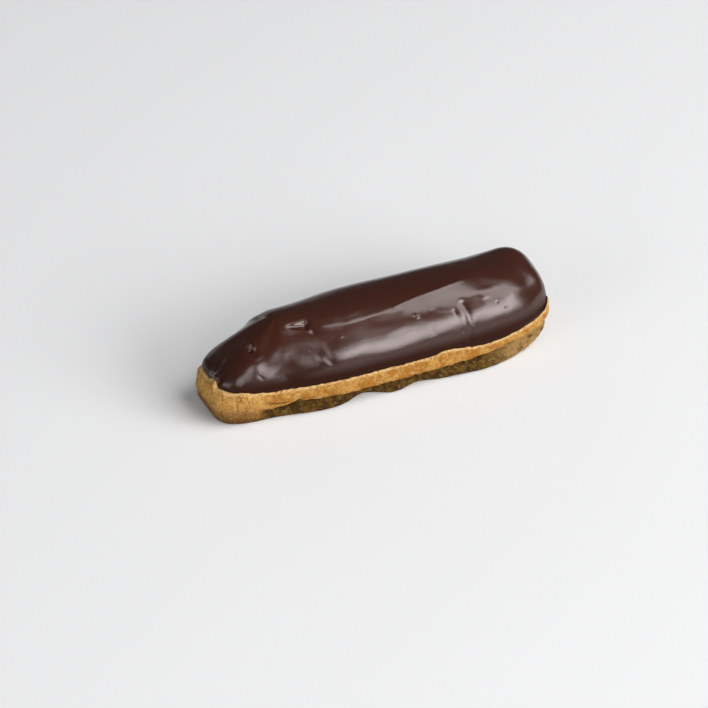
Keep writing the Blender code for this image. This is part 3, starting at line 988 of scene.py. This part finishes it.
    def rows(self) -> Array:
        """Work out the icing's rows: down its inside, round the bead, and up over its outside."""
        plan = self.plan
        edge = plan.edge_height()
        shoulder = plan.size(plan.shoulder)
        sweep = np.linspace(0.0, math.pi / 2, self.outer_rows)
        surface = plan.dome(sweep)
        normal = outward(surface)
        normal[0] = plan.out_direction()
        normal[-1] = (0.0, 0.0, 1.0)
        rise = sum(form.rise(surface) for form in self.forms)
        fine = sum(mark.rise(surface) for mark in self.detail)
        outside = surface + (rise + fine)[..., None] * normal
        kept = np.linspace(0, self.outer_rows - 1, self.inner_rows).round().astype(int)[::-1]
        inside = (surface + (rise - self.thickness)[..., None] * normal)[kept]
        bead = [plan.ring(-shoulder - self.thickness, edge)]
        for turn in np.linspace(0.0, math.pi / 2, self.bead_rows, endpoint=False):
            inset = shoulder + plan.bead_undercut * (1.0 - math.sin(turn))
            bead.append(plan.ring(-inset, edge + plan.bead_height * (1.0 - math.cos(turn))))
        return np.concatenate((inside, np.array(bead), outside))

    def build(self, place: Place) -> bpy.types.Object:
        """Make the piece in its place in the frame."""
        piece = loft("icing_coat", place.settle(self.rows()), {})
        piece.data.materials.append(self.finish.build())
        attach(piece, "root")
        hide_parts("chocolate_icing")
        return piece


@dataclass(frozen=True)
class Pits:
    """Scattered small holes in the crust."""

    count: int
    size: tuple[float, float]
    depth: float
    seed: int

    def rise(self, points: Array, share: Array) -> Array:
        """Sink the holes.

        Args:
            points: Points of the crust's wall, by row and column.
            share: How far each point may sink, from 0 to 1.

        Returns:
            The rise at each point, which is negative in a hole.
        """
        chance = np.random.default_rng(self.seed)
        flat = points.reshape(-1, 3)
        rise = np.zeros(len(flat))
        for centre in flat[chance.integers(0, len(flat), self.count)]:
            size = chance.uniform(*self.size)
            stretch = chance.uniform(1.0, 2.4)
            offset = (flat - centre) / (size * stretch, size, size * 0.7)
            rise -= size * self.depth * np.exp(-np.sum(offset**2, axis=-1))
        return rise.reshape(points.shape[:-1]) * share


@dataclass
class Crust:
    """The baked shell: foot, groove, lip and the hidden top under the icing."""

    plan: Plan
    foot_underside: float = 0.0010
    foot_corner: tuple[float, float] = (0.0002, 0.0004)
    foot_bulge_height: float = 0.0016
    wall_foot_share: float = 0.8
    nose_fullness: float = 0.5
    wall_groove_share: float = 0.35
    groove_foot_share: float = 0.2
    groove_drop: float = 0.0009
    undercut: float = 0.0030
    nose_undercut_share: float = 0.1
    lip_corner: tuple[float, float, float] = (0.0004, 0.0001, 0.6)
    lip_rounding: float = 0.0012
    lip_top_share: float = 0.3
    lip_top_drop: float = 0.0014
    rim_reach: float = 0.0002
    depth: float = 0.0017
    hidden_depth: float = 0.0044
    hidden_rows: int = 9
    rim_height: float = 0.0004
    rim_fade: tuple[float, float] = (0.0014, 0.0004)
    nose_lip_share: float = 0.95
    nose_lip_from: tuple[float, float] = (-0.0010, 0.0028)
    relief_from: float = 0.0015
    # where the painted light on the wall at the blunt end fades in, along the length
    painted_light_from: tuple[float, float] = (0.034, 0.050)
    steps: tuple[int, ...] = (2, 2, 4, 8, 18, 16, 10, 12, 18, 8, 4)
    wall_detail: tuple = (
        Waves(5.0, 0.55, 1.8, 3, 1.7),
        Waves(1.6, 0.3, 2.0, 3, 6.4),
    )
    lip_detail: tuple = (
        Waves(6.0, 0.2, 1.6, 2, 4.9),
        Waves(1.7, 0.19, 1.2, 3, 9.6),
        Waves(0.8, 0.1, 1.0, 2, 7.3),
    )
    cracks: tuple = (
        Furrow(0.35, 0.5, ((-68.0, -6.0, 16.0), (-69.0, -4.5, 11.0), (-68.0, -6.0, 6.0))),
        Furrow(0.35, 0.45, ((-66.0, -8.5, 12.5), (-67.0, -8.0, 8.5), (-65.0, -11.0, 4.5))),
        Furrow(0.35, 0.4, ((-56.0, -16.0, 8.5), (-50.0, -17.2, 7.8), (-44.0, -18.0, 7.2))),
    )
    wall_pits: Pits = Pits(150, (0.0003, 0.0008), 0.55, 11)
    lip_pits: Pits = Pits(120, (0.00015, 0.00035), 0.45, 23)
    finish: CrustFinish = CrustFinish()

    def profile(self) -> list[tuple[Array, Array, float]]:
        """Give the wall's corners: distance outwards from the lip line, height, and share of lip."""
        plan = self.plan
        foot = plan.size(plan.foot)
        lip = plan.size(plan.lip) + plan.lip_wobble
        edge = plan.edge_height()
        shoulder = plan.size(plan.shoulder)
        undercut = self.undercut * (1.0 - (1.0 - self.nose_undercut_share) * plan.nose_share)
        level = np.zeros_like(foot)
        heel = plan.size(plan.heel)
        wall = foot * (self.wall_foot_share - self.nose_fullness * plan.nose_share)
        corner_in, corner_drop, corner_share = self.lip_corner
        return [
            (-plan.reach, level, 0.0),
            (-plan.reach / 2.0, level, 0.0),
            (-foot - self.foot_underside, heel, 0.0),
            (-foot - self.foot_corner[0], heel + self.foot_corner[1], 0.0),
            (-foot + plan.foot_bulge, heel + self.foot_bulge_height, 0.0),
            (-wall - undercut * self.wall_groove_share, (heel + lip) / 2.0, 0.0),
            (-undercut - foot * self.groove_foot_share, lip - self.groove_drop, 0.0),
            (level - corner_in, lip - corner_drop, corner_share),
            (level, lip + self.lip_rounding, 1.0),
            (-shoulder * self.lip_top_share, edge - self.lip_top_drop, 1.0),
            (-shoulder + self.rim_reach, edge + self.rim_height, 1.0),
            (-shoulder - self.depth, edge + self.rim_height, 1.0),
        ]

    def rows(self) -> tuple[Array, dict[str, Array]]:
        """Work out the shell's rows, from the middle of the base to the top.

        Returns:
            The points, by row and column, and the marks that the finish reads.
        """
        plan = self.plan
        corners = self.profile()
        rings = []
        shares = []
        for (start_out, start_up, start_lip), (stop_out, stop_up, stop_lip), steps in zip(
            corners, corners[1:], self.steps
        ):
            for t in np.linspace(0.0, 1.0, steps, endpoint=False):
                out = start_out + (stop_out - start_out) * t
                rings.append(plan.ring(out, start_up + (stop_up - start_up) * t))
                shares.append(start_lip + (stop_lip - start_lip) * t)
        rings.append(plan.ring(*corners[-1][:2]))
        shares.append(1.0)
        wall = np.array(rings)
        lip = np.repeat(np.array(shares)[:, None], wall.shape[1], axis=1)
        nose_wall = self.nose_lip_share * ease(*self.nose_lip_from, wall[..., 2])
        lip = lip * (1.0 - plan.nose_share) + np.maximum(nose_wall, lip) * plan.nose_share
        wall = self.smoothed(wall)
        # relief fades out on the flat base and under the icing
        height = wall[..., 2]
        free = ease(0.0, self.relief_from, height)
        free[-self.steps[-1] :] = 0.0
        free[: sum(self.steps[:2])] = 0.0
        normal = outward(wall)
        crack = sum(form.rise(wall) for form in self.cracks)
        pits = self.wall_pits.rise(wall, (1.0 - lip)) + self.lip_pits.rise(wall, lip)
        rough = sum(form.rise(wall) for form in self.wall_detail) * (1.0 - lip)
        even = sum(form.rise(wall) for form in self.lip_detail) * lip
        wall = wall + ((crack + pits + rough + even) * free)[..., None] * normal
        surface = plan.dome(np.linspace(0.0, math.pi / 2, self.hidden_rows))
        under = outward(surface)
        under[0] = plan.out_direction()
        under[-1] = (0.0, 0.0, 1.0)
        top = surface - self.hidden_depth * under
        none = np.zeros(top.shape[:-1])
        rim = ease(*self.rim_fade, plan.edge_height() + self.rim_height - height)
        marks = {
            "lip": np.concatenate((lip, none)),
            "nose": np.concatenate((plan.nose_share + 0.0 * lip, none)),
            "rim": np.concatenate((rim, none)),
            # the blunt mark carries the painted light on the wall at the blunt end
            "blunt": np.concatenate((ease(*self.painted_light_from, plan.rim) + 0.0 * lip, none)),
            "dent": np.concatenate((-(crack + pits) * free, none)),
        }
        return np.concatenate((wall, top)), marks

    @staticmethod
    def smoothed(wall: Array) -> Array:
        """Round the corners of the wall's rows, leaving the flat base and the last row alone."""
        smooth = wall.copy()
        for _ in range(2):
            middle = (smooth[:-2] + 2.0 * smooth[1:-1] + smooth[2:]) / 4.0
            smooth[8:-1] = middle[7:]
        return smooth

    def build(self, place: Place) -> bpy.types.Object:
        """Make the piece in its place in the frame."""
        rows, marks = self.rows()
        piece = loft("choux_crust", place.settle(rows), marks)
        piece.data.materials.append(self.finish.build())
        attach(piece, "root")
        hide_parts("choux_shell")
        return piece


# The studio


@dataclass(frozen=True)
class SoftBox:
    """A rectangular soft light that faces the eclair.

    Its azimuth in degrees runs from the front (-Y) towards the blunt end (+X), its elevation in
    degrees from the horizon.  The power follows from how bright its face is, and its area.
    """

    name: str
    azimuth: float
    elevation: float
    distance: float
    size: tuple[float, float]
    brightness: float
    aim_height: float = 0.015

    def hang(self) -> None:
        """Hang the light in the scene."""
        data = bpy.data.lights.new(self.name, "AREA")
        data.shape = "RECTANGLE"
        data.size, data.size_y = self.size
        data.energy = self.brightness * math.pi * self.size[0] * self.size[1]
        turn, rise = math.radians(self.azimuth), math.radians(self.elevation)
        away = Vector((math.sin(turn) * math.cos(rise), -math.cos(turn) * math.cos(rise), math.sin(rise)))
        lamp = bpy.data.objects.new(self.name, data)
        lamp.location = Vector((0.0, 0.0, self.aim_height)) + away * self.distance
        lamp.rotation_euler = (-away).to_track_quat("-Z", "Y").to_euler()
        bpy.context.scene.collection.objects.link(lamp)


@dataclass
class Studio:
    """A pale floor, soft lights and the camera."""

    azimuth: float = math.radians(-25.3)
    elevation: float = math.radians(35.4)
    distance: float = 0.8814
    lens: float = 120.5
    aim_right: float = -0.00837
    aim_up: float = -0.00777
    aim_height: float = 0.014
    aim_depth: float = 0.00143
    floor_reach: float = 12.0
    floor_colour: Point = (0.95, 0.95, 0.95)
    floor_roughness: float = 0.8
    surroundings: Point = (0.9, 0.95, 1.0)
    surroundings_strength: float = 0.09
    boxes: tuple[SoftBox, ...] = (
        SoftBox("front_box", 33.0, 21.0, 2.80, (2.60, 1.20), 5.6),
        SoftBox("front_core", 33.0, 21.0, 2.76, (2.20, 0.52), 3.0),
        SoftBox("nose_box", -20.0, 27.0, 2.80, (1.18, 1.02), 3.2),
        SoftBox("high_box", 56.0, 60.0, 2.60, (1.60, 0.84), 4.2),
        SoftBox("right_box", 67.0, 38.0, 2.80, (1.60, 1.30), 3.8),
        SoftBox("left_fill", -70.0, 16.0, 2.80, (2.00, 1.10), 3.0),
        SoftBox("back_fill", -176.0, 11.0, 3.20, (2.60, 0.40), 1.3),
    )

    def directions(self) -> tuple[Vector, Vector, Vector]:
        """Give the camera's right, up and back directions."""
        back = Vector(
            (
                math.sin(self.azimuth) * math.cos(self.elevation),
                -math.cos(self.azimuth) * math.cos(self.elevation),
                math.sin(self.elevation),
            )
        )
        right = Vector((math.cos(self.azimuth), math.sin(self.azimuth), 0.0))
        return right, back.cross(right), back

    def camera(self) -> None:
        """Place the camera."""
        right, up, back = self.directions()
        aim = Vector((0.0, self.aim_depth, self.aim_height)) + right * self.aim_right + up * self.aim_up
        data = bpy.data.cameras.new("camera")
        data.lens = self.lens
        data.sensor_width = 36.0
        data.clip_start = 0.01
        data.clip_end = 40.0
        eye = bpy.data.objects.new("camera", data)
        turn = Matrix((right, up, back)).transposed().to_4x4()
        eye.matrix_world = Matrix.Translation(aim + back * self.distance) @ turn
        bpy.context.scene.collection.objects.link(eye)
        bpy.context.scene.camera = eye

    def floor(self) -> None:
        """Lay the pale floor."""
        mesh = bpy.data.meshes.new("floor")
        reach = self.floor_reach
        corners = [(-reach, -reach, 0.0), (reach, -reach, 0.0), (reach, reach, 0.0), (-reach, reach, 0.0)]
        mesh.from_pydata(corners, [], [(0, 1, 2, 3)])
        ground = bpy.data.objects.new("floor", mesh)
        bpy.context.scene.collection.objects.link(ground)
        material = bpy.data.materials.new("pale_floor")
        graph = Graph(material)
        shader = graph.node(
            "ShaderNodeBsdfPrincipled",
            None,
            {
                "Base Color": (*self.floor_colour, 1.0),
                "Roughness": self.floor_roughness,
                "Specular IOR Level": 0.2,
            },
        )
        graph.node("ShaderNodeOutputMaterial", None, {"Surface": shader.outputs["BSDF"]})
        mesh.materials.append(material)
        ground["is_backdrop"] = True

    def world(self) -> None:
        """Set the dim surroundings."""
        world = bpy.data.worlds.new("surroundings")
        world.use_nodes = True
        shade = world.node_tree.nodes["Background"]
        shade.inputs["Color"].default_value = (*self.surroundings, 1.0)
        shade.inputs["Strength"].default_value = self.surroundings_strength
        bpy.context.scene.world = world

    def build(self) -> None:
        """Set up floor, lights, surroundings and camera."""
        self.floor()
        self.world()
        for box in self.boxes:
            box.hang()
        self.camera()
        bpy.context.scene.view_settings.view_transform = "Standard"


def main() -> None:
    """Build the eclair on the frame, and the studio round it."""
    logging.basicConfig(level=logging.INFO, format="%(name)s: %(message)s")
    solid_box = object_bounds()
    plan = Plan()
    icing = Icing(plan)
    crust = Crust(Plan(side_columns=240, cap_columns=160))
    low, high = np.array(solid_box[0]), np.array(solid_box[1])
    widest = plan.ring(np.maximum(plan.foot_bulge - plan.size(plan.foot), 0.0), np.zeros_like(plan.reach))
    shift = (low + high - widest.min(axis=0) - widest.max(axis=0)) / 2.0
    shift[2] = 0.0
    place = Place(shift, low, high)
    for part in (crust, icing):
        piece = part.build(place)
        LOG.info("%s: %d faces", piece.name, len(piece.data.polygons))
    Studio().build()


if __name__ == "__main__":
    main()
